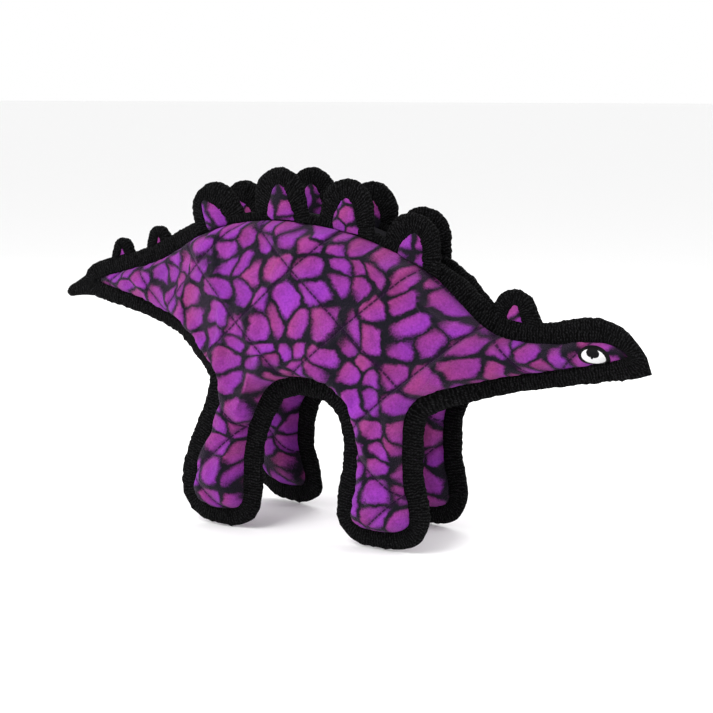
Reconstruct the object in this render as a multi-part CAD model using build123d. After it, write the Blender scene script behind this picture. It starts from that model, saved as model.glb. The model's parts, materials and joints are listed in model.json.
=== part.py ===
"""Stuffed stegosaurus toy, sewn from quilted fleece panels with folded webbing over every raw edge.

The frame has X along the body towards the nose, Z up and Y to the toy's left.  The origin is on the ground, under the
middle of the overall length.  Every part is a closed solid in its own node, and all lengths are millimetres.

The trunk (tail, torso, neck and head) is one loft through cross-sections.  A section has four corners, where the two
side panels meet the back gusset and the belly gusset.  Each leg is a loft of lens-shaped sections between a front and
a back seam.  Soft limbs bend at flex lines: the parts are cut there with a round nose and a V-shaped gap.
"""
import os
from collections import namedtuple
from math import atan2, cos, radians, sin, tan

from build123d import *

# Driving dimensions
LENGTH = 402.0  # tail end to nose tip
NOSE_X = LENGTH / 2
TAIL_X = -LENGTH / 2
LAMINATE = 2.4  # fleece bonded to two layers of woven backing
LEG_LAMINATE = 2.0
CLEARANCE = 0.3  # between parts that lie against each other
BINDING_WIDTH = 10.0  # how far the folded webbing stands out from a seam
BINDING_THICKNESS = 5.5  # webbing, two panel edges, webbing
SEAM_OVERLAP = 1.5  # how far the webbing reaches over the panel
LEG_PLANE = 35.0  # distance of each leg's seam from the centre plane
LEG_BULGE = 12.5
HIP_Z = 88.0  # height of the flex line at the top of each leg
NECK_X = 94.0
HEAD_X = 146.0
TAIL_ROOT_X = -103.0
NOSE_RADIUS = 5.0  # round part of a flex line
HEAD_NOSE_RADIUS = 3.6
NOSE_GAP = 0.6
V_HALF_ANGLE = 9.0  # degrees of free space on each side of a flex line
HIP_V_ANGLE = 8.0
TIP_SPREAD = 55.0  # degrees between the points that round the webbing off at the tail and nose
ZONE_GAP = 1.2  # between the webbing of a leg and of the torso
ZONE_FLARE = 32.0  # how far a leg's webbing may stand out beyond its flex line
PLATE_WEBBING = 9.0  # width of the webbing around a back plate
PLATE_TUCK = 3.0  # how far a plate's fleece reaches into its webbing
PLATE_FLEECE = 3.6  # thickness
PLATE_HINGE_HEIGHT = 3.6  # plate flex line above the crest seam
FAR = 300.0  # larger than the toy, for cutting tools

# One row per trunk section: position, seam heights, half-widths at the two seams and at the widest point.
Section = namedtuple("Section", "x top bottom top_half bottom_half half")
TRUNK = [
    Section(-172, 141.4, 136.6, 0.5, 0.5, 2.0),
    Section(-150, 147.3, 131.3, 0.6, 0.6, 7.0),
    Section(-125, 154.5, 125.0, 1.2, 1.6, 14.5),
    Section(-103, 164.0, 118.5, 4.5, 6.5, 25.0),
    Section(-88, 171.0, 112.0, 11.0, 16.0, 33.0),
    Section(-70, 177.5, 102.0, 17.5, 28.0, 41.0),
    Section(-45, 183.0, 95.0, 19.5, 34.5, 48.5),
    Section(-15, 184.0, 93.0, 18.5, LEG_PLANE, 52.0),
    Section(20, 179.0, 93.0, 15.5, LEG_PLANE, 51.0),
    Section(50, 169.0, 92.0, 12.0, 34.5, 45.0),
    Section(72, 157.5, 91.5, 8.0, 31.0, 37.5),
    Section(84, 147.5, 92.0, 5.0, 23.5, 30.5),
    Section(94, 136.5, 94.0, 3.2, 14.0, 24.0),
    Section(106, 126.0, 97.0, 1.6, 6.2, 17.0),
    Section(122, 121.5, 101.0, 0.7, 1.8, 13.0),
    Section(145, 122.0, 105.5, 0.5, 0.6, 10.5),
    Section(165, 124.0, 109.5, 0.5, 0.5, 8.5),
    Section(180, 122.5, 113.0, 0.5, 0.5, 5.5),
    Section(187, 120.0, 115.2, 0.5, 0.5, 2.0),
]
TAIL_SEAM_TIP = (-173.5, 138.6)
TAIL_END_RADIUS = 3.6
TAIL_END_Z = 130.5
NOSE_SEAM_TIP = (189.5, 117.5)

# One row per leg section: height, back seam, front seam, bulge to each side.
LegSection = namedtuple("LegSection", "z back front bulge")
REAR_LEG = [
    LegSection(11, -60, -44, 1.6),
    LegSection(15, -69.5, -39.8, 6.0),
    LegSection(24, -74, -38.2, 10.0),
    LegSection(38, -71.5, -38, 12.0),
    LegSection(52, -65, -37, LEG_BULGE),
    LegSection(66, -58, -32.5, LEG_BULGE),
    LegSection(80, -54.5, -24.5, LEG_BULGE),
    LegSection(94, -53, -8, LEG_BULGE),
]
FRONT_LEG = [
    LegSection(11, 43, 65, 1.6),
    LegSection(15, 36, 72.5, 6.0),
    LegSection(24, 35.5, 74, 10.0),
    LegSection(38, 39, 70.5, 12.0),
    LegSection(52, 40, 69, LEG_BULGE),
    LegSection(66, 39.5, 69.5, LEG_BULGE),
    LegSection(80, 34.5, 72.5, LEG_BULGE),
    LegSection(94, 17, 88, LEG_BULGE),
]
LEGS = {"front": FRONT_LEG, "rear": REAR_LEG}
HIP_SPANS = {"front": (27.0, 79.0), "rear": (-53.5, -18.5)}  # where the seams of a leg cross its flex line
FOOT_Z = 9.4  # lowest point of a foot's seam, so that the webbing ends in a flat sole at the ground

# One row per back plate: middle of its base on the crest seam, slope of the base, lean of its tip, both in degrees
# from level and from upright, half base width, tip radius and height.
Plate = namedtuple("Plate", "x z half_y slope lean half_base radius height")
PLATES = [
    Plate(-62, 179.3, 18.6, 16, -22, 18.2, 16.5, 29),
    Plate(-21, 184.1, 18.7, -1, -8, 18.8, 17.0, 31.5),
    Plate(20.5, 179.0, 15.4, -12, 3, 18.6, 17.0, 30),
    Plate(60, 164.2, 10.6, -27, 9, 18.2, 16.0, 27),
]
# Small plates on the single seams of the tail and neck: middle and radius of the round tip.
TAIL_PLATES = [(-154, 156.5, 10.5), (-124.5, 165.5, 10.5)]
NECK_PLATES = [(119.5, 137.0, 12.0)]
PLATE_WINDOW = 3.4  # radius of the fleece showing inside a small plate's webbing
CREST_SPAN = (-85.5, 80.0)  # the part of the crest seam where the back plates take the place of the webbing

EYE = (172.5, 118.8)
EYE_SIZE = (17.6, 10.6)
EYE_TILT = -4.0
EYE_RIM = 1.4
PUPIL_RADIUS = 2.7
EYE_THICKNESS = 0.8

SQUEAKER_AT = (-5.0, 0.0, 132.0)
SQUEAKER_RADIUS = 21.0
SQUEAKER_HEIGHT = 26.0
REED_RADIUS = 4.0
POUCH_GAP = 1.5
POUCH_WALL = 1.0


# ---------------------------------------------------------------- trunk
def corners(s, inset):
    """The right top, right bottom and half-width of a section whose skin is moved inwards by inset."""
    side = min(inset, 0.42 * s.half)
    drop = min(inset, 0.24 * (s.top - s.bottom))
    top = (-max(s.top_half - 0.5 * side, 0.25), s.top - drop)
    bottom = (-max(s.bottom_half - 0.5 * side, 0.25), s.bottom + drop)
    return top, bottom, s.half - side


def side_middle(s):
    """Height of a section's widest point, which is below the middle where the belly is wide."""
    return s.bottom + 0.48 * (s.top - s.bottom)


def crowns(s):
    """How far the back gusset rises and the belly gusset sags at the centre plane."""
    return 0.16 * s.top_half, 0.14 * s.bottom_half


def at(x, point):
    return Vector(x, point[0], point[1])


def mirrored(point):
    return (-point[0], point[1])


def closed_section(s, inset):
    """The whole cross-section as a wire of four arcs."""
    top, bottom, half = corners(s, inset)
    up, down = crowns(s)
    middle = side_middle(s)
    edges = [
        ThreePointArc(at(s.x, top), at(s.x, (-half, middle)), at(s.x, bottom)),
        ThreePointArc(at(s.x, bottom), at(s.x, (0, bottom[1] - down - 0.05)), at(s.x, mirrored(bottom))),
        ThreePointArc(at(s.x, mirrored(bottom)), at(s.x, (half, middle)), at(s.x, mirrored(top))),
        ThreePointArc(at(s.x, mirrored(top)), at(s.x, (0, top[1] + up + 0.05)), at(s.x, top)),
    ]
    return Wire(edges)


def side_section(s, sign):
    """A side panel's cross-section: a curved strip LAMINATE thick between the top and bottom seams."""
    top, bottom, half = corners(s, 0)
    top_in, bottom_in, half_in = corners(s, LAMINATE)
    middle = side_middle(s)

    def place(point):
        return Vector(s.x, -sign * point[0], point[1])

    edges = [
        ThreePointArc(place(top), place((-half, middle)), place(bottom)),
        Line(place(bottom), place(bottom_in)),
        ThreePointArc(place(bottom_in), place((-half_in, middle)), place(top_in)),
        Line(place(top_in), place(top)),
    ]
    return Wire(edges)


def gusset_section(s, at_top):
    """A gusset's cross-section: a crowned strip that stops just short of both side panels."""
    top, bottom, _ = corners(s, 0)
    top_in, bottom_in, _ = corners(s, LAMINATE)
    up, down = crowns(s)
    outer, inner = (top, top_in) if at_top else (bottom, bottom_in)
    crown = up + 0.05 if at_top else -down - 0.05
    outer_y = outer[0] + min(CLEARANCE, 0.4 * -outer[0])
    inner_y = inner[0] + min(CLEARANCE, 0.4 * -inner[0])
    edges = [
        ThreePointArc(at(s.x, (outer_y, outer[1])), at(s.x, (0, outer[1] + crown)), at(s.x, (-outer_y, outer[1]))),
        Line(at(s.x, (-outer_y, outer[1])), at(s.x, (-inner_y, inner[1]))),
        ThreePointArc(at(s.x, (-inner_y, inner[1])), at(s.x, (0, inner[1] + crown)), at(s.x, (inner_y, inner[1]))),
        Line(at(s.x, (inner_y, inner[1])), at(s.x, (outer_y, outer[1]))),
    ]
    return Wire(edges)


def lofted(wires):
    return Solid.make_loft(wires)


# ---------------------------------------------------------------- flex lines
def flex_line(x, towards, nose_radius):
    """The space for the child and for the parent at an upright flex line, as two cutting solids.

    The child keeps a round nose about the line and all beyond a V.  The parent keeps what is behind its own V, less a
    socket around the nose."""
    plane = Plane(origin=(x, 0, 0), x_dir=(towards, 0, 0), z_dir=(0, 0, 1))
    wide = FAR * tan(radians(V_HALF_ANGLE))
    child_v = make_face(Polyline((0, 0), (wide, FAR), (FAR, FAR), (FAR, -FAR), (wide, -FAR), close=True))
    parent_v = make_face(Polyline((0, 0), (-wide, FAR), (-FAR, FAR), (-FAR, -FAR), (-wide, -FAR), close=True))
    child = child_v + Circle(nose_radius)
    parent = parent_v - Circle(nose_radius + NOSE_GAP)
    return extrude(plane * child, FAR, both=True), extrude(plane * parent, FAR, both=True)


def hip_cylinder(end, radius, gap):
    """A bar along the flex line of a right leg, between the leg's two seams."""
    back, front = HIP_SPANS[end]
    plane = Plane(origin=(back - gap, -LEG_PLANE, HIP_Z), z_dir=(1, 0, 0))
    return extrude(plane * Circle(radius), front - back + 2 * gap)


def hip_space(end):
    """The space for a right leg below its flex line."""
    plane = Plane(origin=(0, -LEG_PLANE, HIP_Z), x_dir=(0, 1, 0), z_dir=(1, 0, 0))
    drop = FAR * tan(radians(HIP_V_ANGLE))
    below = make_face(Polyline((0, 0), (FAR, -drop), (FAR, -FAR), (-FAR, -FAR), (-FAR, -drop), close=True))
    return extrude(plane * below, FAR, both=True) + hip_cylinder(end, NOSE_RADIUS, 0)


def leg_zone(end, gap):
    """The part of the side view that holds a leg's webbing, widening downwards from the flex line."""
    back, front = HIP_SPANS[end]
    top = HIP_Z + gap
    flare = ZONE_FLARE
    right = [(front, top), (front + flare, top - flare), (front + flare, -flare)]
    left = [(back - flare, -flare), (back - flare, top - flare), (back, top)]
    return make_face(Polyline(*right, *left, close=True))


# ---------------------------------------------------------------- outlines in the XZ plane
def moved_out(points, distance):
    """Points moved to the left of the path through them, square to the path."""
    moved = []
    for i, (x, z) in enumerate(points):
        before = points[max(i - 1, 0)]
        after = points[min(i + 1, len(points) - 1)]
        turn = atan2(after[1] - before[1], after[0] - before[0])
        moved.append((x - distance * sin(turn), z + distance * cos(turn)))
    return moved


def leg_outline(rows, distance):
    """A leg's seam moved outwards by distance, as a face that runs up into the trunk."""
    foot = ((rows[0].back + rows[0].front) / 2, FOOT_Z)
    down = [(r.back, r.z) for r in reversed(rows)]
    up = [(r.front, r.z) for r in rows]
    seam = moved_out([*down, foot, *up], -distance)
    inside = Polyline(seam[-1], (seam[-1][0], 110), (seam[0][0], 110), seam[0])
    return make_face([Spline(*seam), inside])


def trunk_outline(distance):
    """The trunk's side view, with its top and bottom seams moved outwards by distance."""
    top = moved_out([(s.x, s.top) for s in TRUNK], distance)[1:-1]
    bottom = moved_out([(s.x, s.bottom) for s in TRUNK], -distance)[1:-1]
    tail = tip_points(TAIL_SEAM_TIP, distance, 180)
    nose = tip_points(NOSE_SEAM_TIP, distance, 0)
    return make_face(Spline(*top, *nose, *reversed(bottom), *tail, periodic=True))


def tip_points(tip, distance, facing):
    """Three points around a seam's tip, clockwise, from the top of the nose or the bottom of the tail."""
    reach = max(distance + 1.5, 1.0)
    angles = [facing + TIP_SPREAD, facing, facing - TIP_SPREAD]
    return [(tip[0] + reach * cos(radians(a)), tip[1] + reach * sin(radians(a))) for a in angles]


def webbing_outline():
    """The side view of all the webbing: a ring around the side panel's outline, with a folded end on the tail."""
    outer, inner = (panel_outline(d) for d in (BINDING_WIDTH, -SEAM_OVERLAP))
    root = Pos(*TAIL_SEAM_TIP) * Circle(BINDING_WIDTH)
    end = Pos(TAIL_X + TAIL_END_RADIUS, TAIL_END_Z) * Circle(TAIL_END_RADIUS)
    outer += make_hull([*root.edges(), *end.edges()])
    return (outer - inner) & Pos(0, FAR / 2) * Rectangle(2 * FAR, FAR)


def panel_outline(distance):
    """The side panel's outline moved outwards by distance."""
    return trunk_outline(distance) + leg_outline(REAR_LEG, distance) + leg_outline(FRONT_LEG, distance)


def round_plates(plates, radius_change=0.0):
    """The small plates of the tail or neck as round faces."""
    return [Pos(x, z) * Circle(radius + radius_change) for x, z, radius in plates]


def upright(face_2d, depth, y=0.0):
    """Extrudes an XZ outline by depth to both sides of the plane at y."""
    return extrude(Plane(origin=(0, y, 0), x_dir=(1, 0, 0), z_dir=(0, -1, 0)) * face_2d, depth, both=True)


def band(halves, low, high):
    """A wall of webbing thickness standing on the plan view of a right seam, between two heights."""
    half = BINDING_THICKNESS / 2
    rows = [(TAIL_X - 9, halves[0])] + [(s.x, y) for s, y in zip(TRUNK, halves)] + [(NOSE_X + 9, halves[-1])]
    outer = Spline(*[(x, -y - half) for x, y in rows])
    inner = Spline(*[(x, -y + half) for x, y in reversed(rows)])
    face = make_face([outer, Line(outer @ 1, inner @ 0), inner, Line(inner @ 1, outer @ 0)])
    return extrude(Plane.XY.offset(low) * face, high - low)


def half_above(face_2d):
    """Splits a webbing outline along the middle of the trunk and returns the upper and the lower part."""
    middle = [(TAIL_X - 9, 138.5)] + [(s.x, side_middle(s)) for s in TRUNK] + [(NOSE_X + 9, 117.5)]
    above = make_face(Polyline(*middle, (NOSE_X + 9, 300), (TAIL_X - 9, 300), close=True))
    return face_2d & above, face_2d - above


def mirror_left(shape):
    return mirror(shape, about=Plane.XZ)


def both_sides(shape):
    """The right half of a shape joined with its mirror image."""
    right = shape & Pos(0, -FAR / 2, 0) * Box(3 * FAR, FAR, 2 * FAR)
    return right + mirror_left(right)


# ---------------------------------------------------------------- legs
def leg_arc(r, bulge, inset, plane_gap):
    """An arc at distance y from the leg's seam plane, from the back seam to the front seam of a right leg."""
    middle = (r.back + r.front) / 2
    return ThreePointArc(
        Vector(r.back + inset, -LEG_PLANE - plane_gap, r.z),
        Vector(middle, -LEG_PLANE - bulge, r.z),
        Vector(r.front - inset, -LEG_PLANE - plane_gap, r.z),
    )


def leg_strip(r, sign):
    """The cross-section of one leg panel; sign 1 is the outer panel of a right leg."""
    thickness = min(LEG_LAMINATE, 0.5 * r.bulge)
    outer = leg_arc(r, sign * r.bulge, 0, sign * 0.15)
    inner = leg_arc(r, sign * (r.bulge - thickness), 1.6 * thickness, sign * 0.15)
    return Wire([outer, Line(outer @ 1, inner @ 1), inner, Line(inner @ 0, outer @ 0)])


def leg_lens(r, inset):
    """The cross-section of a whole leg whose skin is moved inwards by inset."""
    thickness = min(inset, 0.6 * r.bulge)
    outer = leg_arc(r, r.bulge - thickness, 1.6 * thickness, 0)
    inner = leg_arc(r, thickness - r.bulge, 1.6 * thickness, 0)
    return Wire([outer, inner])


def build_leg(end, ring):
    """The four parts of a right leg."""
    rows = LEGS[end]
    space = hip_space(end)
    skin = lofted([leg_lens(r, -1.5 * CLEARANCE) for r in rows])
    webbing = upright(ring & leg_zone(end, 0), BINDING_THICKNESS / 2, -LEG_PLANE) - skin
    filling = lofted([leg_lens(r, LEG_LAMINATE + 2 * CLEARANCE) for r in rows])
    filling = filling & Pos(0, 0, FAR / 2 + rows[1].z) * Box(2 * FAR, 2 * FAR, FAR)
    return {
        "outer_panel": keep(lofted([leg_strip(r, 1) for r in rows]), space),
        "inner_panel": keep(lofted([leg_strip(r, -1) for r in rows]), space),
        "stuffing": keep(filling, space),
        "binding": webbing,
    }


# ---------------------------------------------------------------- plates
def plate_outline(p, margin):
    """A back plate's side view, moved inwards by margin everywhere but at its base."""
    half_base = p.half_base - margin
    slope = radians(p.slope)
    lean = radians(p.lean)
    base_x, base_z = plate_base(p)
    reach = p.height - p.radius
    tip = Pos(base_x + reach * sin(lean), base_z + reach * cos(lean)) * Circle(p.radius - margin)
    base = Line(
        (base_x - half_base * cos(slope), base_z - half_base * sin(slope)),
        (base_x + half_base * cos(slope), base_z + half_base * sin(slope)),
    )
    return make_hull([base, *tip.edges()])


def plate_base(p):
    """Middle of a plate's flex line."""
    slope = radians(p.slope)
    return p.x - PLATE_HINGE_HEIGHT * sin(slope), p.z + PLATE_HINGE_HEIGHT * cos(slope)


def plate_slab(p, margin, thickness):
    """A plate with a round base edge concentric with its flex line."""
    base_x, base_z = plate_base(p)
    slope = radians(p.slope)
    length = 2 * (p.half_base - margin)
    along = Plane(origin=(base_x, -p.half_y, base_z), z_dir=(cos(slope), 0, sin(slope)))
    edge = extrude(along * Circle(thickness / 2), length / 2, both=True)
    above = Pos(0, FAR / 2) * Rectangle(2 * FAR, FAR)
    above = Pos(base_x, base_z) * Rot(0, 0, p.slope) * above
    return upright(plate_outline(p, margin) & above, thickness / 2, -p.half_y) + edge


def build_plate(p):
    """The fleece and the webbing of one right-hand back plate."""
    fleece = plate_slab(p, PLATE_WEBBING - PLATE_TUCK, PLATE_FLEECE)
    pocket = plate_slab(p, PLATE_WEBBING - PLATE_TUCK - 0.15, PLATE_FLEECE + 0.3)
    window = plate_slab(p, PLATE_WEBBING, BINDING_THICKNESS + 1)
    webbing = plate_slab(p, 0, BINDING_THICKNESS) - pocket - window
    return fleece, webbing


# ---------------------------------------------------------------- eyes
def embroidered(face_2d, low, high):
    """A patch over the right side of the head, between two distances outside the skin."""
    column = upright(face_2d & trunk_outline(-SEAM_OVERLAP - 2 * CLEARANCE), 20, -21)
    return (column & lofted([closed_section(s, -high) for s in TRUNK])) - lofted(
        [closed_section(s, -low) for s in TRUNK]
    )


def build_eyes():
    """White patch, black pupil and black rim, embroidered on both sides of the head."""
    place = Pos(*EYE) * Rot(0, 0, EYE_TILT)
    whole = place * Ellipse(EYE_SIZE[0] / 2, EYE_SIZE[1] / 2)
    field = place * Ellipse(EYE_SIZE[0] / 2 - EYE_RIM, EYE_SIZE[1] / 2 - EYE_RIM)
    pupil = place * Pos(1.2, 1.0) * Circle(PUPIL_RADIUS)
    parts = {"eye_whites": field - pupil, "eye_pupils": pupil, "eye_rims": whole - field}
    return {name: both_pieces(embroidered(face, 0.15, EYE_THICKNESS)) for name, face in parts.items()}


def both_pieces(shape):
    """A right-hand shape and its mirror image as two solids in one node."""
    return Compound([*shape.solids(), *mirror_left(shape).solids()])


# ---------------------------------------------------------------- squeaker
def squeaker_solid(grow):
    """A drum with rounded rims, larger by grow all round."""
    drum = Cylinder(SQUEAKER_RADIUS + grow, SQUEAKER_HEIGHT + 2 * grow)
    return Pos(*SQUEAKER_AT) * fillet(drum.edges().filter_by(GeomType.CIRCLE), 7 + grow)


def build_squeaker():
    """A hollow rubber bulb with a reed tube in its top, inside a sewn pouch."""
    top = Pos(0, 0, SQUEAKER_HEIGHT / 2)
    bore = Pos(*SQUEAKER_AT) * top * Cylinder(REED_RADIUS + 0.15, 12)
    tube = Pos(*SQUEAKER_AT) * top * Pos(0, 0, -3.5) * Cylinder(REED_RADIUS, 9)
    slot = Pos(*SQUEAKER_AT) * top * Pos(0, 0, -3.5) * Box(REED_RADIUS, 0.8, 20)
    bulb = squeaker_solid(0) - squeaker_solid(-1.6) - bore
    pouch = squeaker_solid(POUCH_GAP + POUCH_WALL) - squeaker_solid(POUCH_GAP)
    return {"squeaker_bulb": bulb, "squeaker_reed": tube - slot, "squeaker_pouch": pouch}


# ---------------------------------------------------------------- trunk parts
def trunk_webbing(ring):
    """The webbing of the top and the bottom seams of a right side, still crossing the panels."""
    upper, lower = half_above(ring)
    small = Sketch() + round_plates(TAIL_PLATES + NECK_PLATES)
    windows = Sketch() + [Pos(x, z) * Circle(PLATE_WINDOW + 0.1) for x, z, _ in TAIL_PLATES + NECK_PLATES]
    crest = Pos(sum(CREST_SPAN) / 2, 0) * Rectangle(CREST_SPAN[1] - CREST_SPAN[0], 2 * FAR)
    upper = (upper - crest + (small - trunk_outline(-SEAM_OVERLAP))) - windows
    lower = lower - leg_zone("rear", ZONE_GAP) - leg_zone("front", ZONE_GAP)
    top_band = band([s.top_half for s in TRUNK], 100, 230)
    bottom_band = band([s.bottom_half for s in TRUNK], 60, 200)
    return upright(upper, 60) & top_band, upright(lower, 60) & bottom_band


def body_webbing(strips, space, inside):
    """The webbing of one trunk body, cut to lie against its panels."""
    top, bottom = (keep(strip, *space) - inside for strip in strips)
    return top + bottom


def side_panel(rows):
    """The right side panel through the given sections, kept clear of the centre plane."""
    right_half = Pos(0, -FAR / 2 - 0.15, 0) * Box(3 * FAR, FAR, 2 * FAR)
    return lofted([side_section(s, -1) for s in rows]) & right_half


def trunk_filling(rows):
    """The filling inside the skin, which stops short of the thin ends."""
    filling = lofted([closed_section(s, LAMINATE + CLEARANCE) for s in rows])
    return filling & Pos(7.5, 0, 0) * Box(315, FAR, 2 * FAR)


def build_trunk(ring):
    """All parts of the tail, torso, neck and head."""
    neck, torso_front = flex_line(NECK_X, 1, NOSE_RADIUS)
    head, neck_front = flex_line(HEAD_X, 1, HEAD_NOSE_RADIUS)
    tail, torso_back = flex_line(TAIL_ROOT_X, -1, NOSE_RADIUS)
    torso = [torso_front, torso_back]
    skin = lofted([closed_section(s, -0.15) for s in TRUNK])
    tail_inside = upright(trunk_outline(2 * CLEARANCE), 60)
    bodies = {"tail": ([tail], tail_inside), "neck": ([neck, neck_front], skin), "head": ([head], skin)}
    sockets = [hip_cylinder(end, NOSE_RADIUS + NOSE_GAP, NOSE_GAP) for end in LEGS]
    sockets += [mirror_left(s) for s in sockets]
    strips = trunk_webbing(ring)
    side = side_panel(TRUNK)
    filling = trunk_filling(TRUNK)

    nodes = {}
    for name, (space, inside) in bodies.items():
        panel = keep(side, *space)
        nodes[f"right_{name}_panel"] = panel
        nodes[f"left_{name}_panel"] = mirror_left(panel)
        nodes[f"{name}_stuffing"] = keep(filling, *space)
        nodes[f"{name}_binding"] = both_sides(body_webbing(strips, space, inside))
    edge = cut(body_webbing(strips, torso, skin), sockets)
    nodes["right_side_panel"] = cut(keep(side, *torso), sockets)
    nodes["left_side_panel"] = mirror_left(nodes["right_side_panel"])
    nodes["right_torso_binding"] = edge
    nodes["left_torso_binding"] = mirror_left(edge)
    nodes["back_gusset"] = keep(lofted([gusset_section(s, True) for s in TRUNK]), *torso)
    nodes["belly_gusset"] = cut(keep(lofted([gusset_section(s, False) for s in TRUNK]), *torso), sockets)
    pocket = squeaker_solid(POUCH_GAP + POUCH_WALL + CLEARANCE)
    nodes["torso_stuffing"] = cut(keep(filling, *torso), [*sockets, pocket])
    for name, plates in (("tail_plate_faces", TAIL_PLATES), ("neck_plate_face", NECK_PLATES)):
        discs = Sketch() + [Pos(x, z) * Circle(PLATE_WINDOW) for x, z, _ in plates]
        nodes[name] = upright(discs, PLATE_FLEECE / 2)
    return nodes


def keep(shape, *spaces):
    """The part of shape inside every space."""
    for space in spaces:
        shape = shape & space
    return shape


def cut(shape, tools):
    """The part of shape outside every tool."""
    for tool in tools:
        shape = shape - tool
    return shape


def build_all():
    """Every node of the toy."""
    ring = webbing_outline()
    nodes = build_trunk(ring)
    nodes.update(build_squeaker())
    nodes.update(build_eyes())
    for end in LEGS:
        for name, shape in build_leg(end, ring).items():
            nodes[f"{end}_right_leg_{name}"] = shape
            nodes[f"{end}_left_leg_{name}"] = mirror_left(shape)
    for number, plate in enumerate(PLATES, start=1):
        fleece, webbing = build_plate(plate)
        nodes[f"right_plate_{number}"] = fleece
        nodes[f"left_plate_{number}"] = mirror_left(fleece)
        nodes[f"right_plate_{number}_binding"] = webbing
        nodes[f"left_plate_{number}_binding"] = mirror_left(webbing)
    return nodes


def save_all():
    os.makedirs("parts", exist_ok=True)
    for name, shape in build_all().items():
        solids = shape.solids()
        node = solids[0] if len(solids) == 1 else Compound(solids)
        node.label = name
        export_step(node, f"parts/{name}.step")


if __name__ == "__main__":
    save_all()
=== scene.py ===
import json
import math

import bpy
import numpy as np
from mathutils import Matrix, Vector
from mathutils.bvhtree import BVHTree
from mathutils.geometry import delaunay_2d_cdt

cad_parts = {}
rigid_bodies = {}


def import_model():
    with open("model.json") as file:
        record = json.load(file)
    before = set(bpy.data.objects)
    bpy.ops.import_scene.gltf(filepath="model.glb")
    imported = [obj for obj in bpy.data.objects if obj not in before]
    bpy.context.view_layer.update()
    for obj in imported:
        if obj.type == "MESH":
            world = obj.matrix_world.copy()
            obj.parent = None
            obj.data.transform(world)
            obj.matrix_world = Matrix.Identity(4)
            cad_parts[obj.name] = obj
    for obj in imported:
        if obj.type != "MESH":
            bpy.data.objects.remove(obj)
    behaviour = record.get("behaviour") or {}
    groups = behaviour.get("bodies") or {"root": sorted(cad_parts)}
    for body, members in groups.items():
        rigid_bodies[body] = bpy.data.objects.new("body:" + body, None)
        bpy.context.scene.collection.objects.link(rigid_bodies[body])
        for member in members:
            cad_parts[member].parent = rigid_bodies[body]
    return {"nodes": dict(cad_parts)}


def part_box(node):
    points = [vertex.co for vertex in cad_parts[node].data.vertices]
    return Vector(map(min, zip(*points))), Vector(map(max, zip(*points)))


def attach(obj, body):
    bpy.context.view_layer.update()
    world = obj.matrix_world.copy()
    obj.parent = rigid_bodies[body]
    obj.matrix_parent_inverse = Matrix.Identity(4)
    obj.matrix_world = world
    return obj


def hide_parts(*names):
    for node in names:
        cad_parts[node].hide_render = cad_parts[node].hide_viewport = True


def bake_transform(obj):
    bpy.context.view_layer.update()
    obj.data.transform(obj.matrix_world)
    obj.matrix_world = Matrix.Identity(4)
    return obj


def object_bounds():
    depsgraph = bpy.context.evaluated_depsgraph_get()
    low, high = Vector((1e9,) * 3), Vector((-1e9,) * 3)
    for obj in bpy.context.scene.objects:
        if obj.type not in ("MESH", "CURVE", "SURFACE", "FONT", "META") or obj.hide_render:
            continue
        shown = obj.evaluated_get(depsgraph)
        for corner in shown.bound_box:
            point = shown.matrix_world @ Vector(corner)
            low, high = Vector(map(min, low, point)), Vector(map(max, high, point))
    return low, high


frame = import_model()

CAD_LOW, CAD_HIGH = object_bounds()
# One drawing unit: the frame is 402 units long, so a unit is about a millimetre.
UNIT = (CAD_HIGH.x - CAD_LOW.x) / 402.0
CENTRE_X = (CAD_HIGH.x + CAD_LOW.x) / 2
GROUND_Z = CAD_LOW.z

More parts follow.
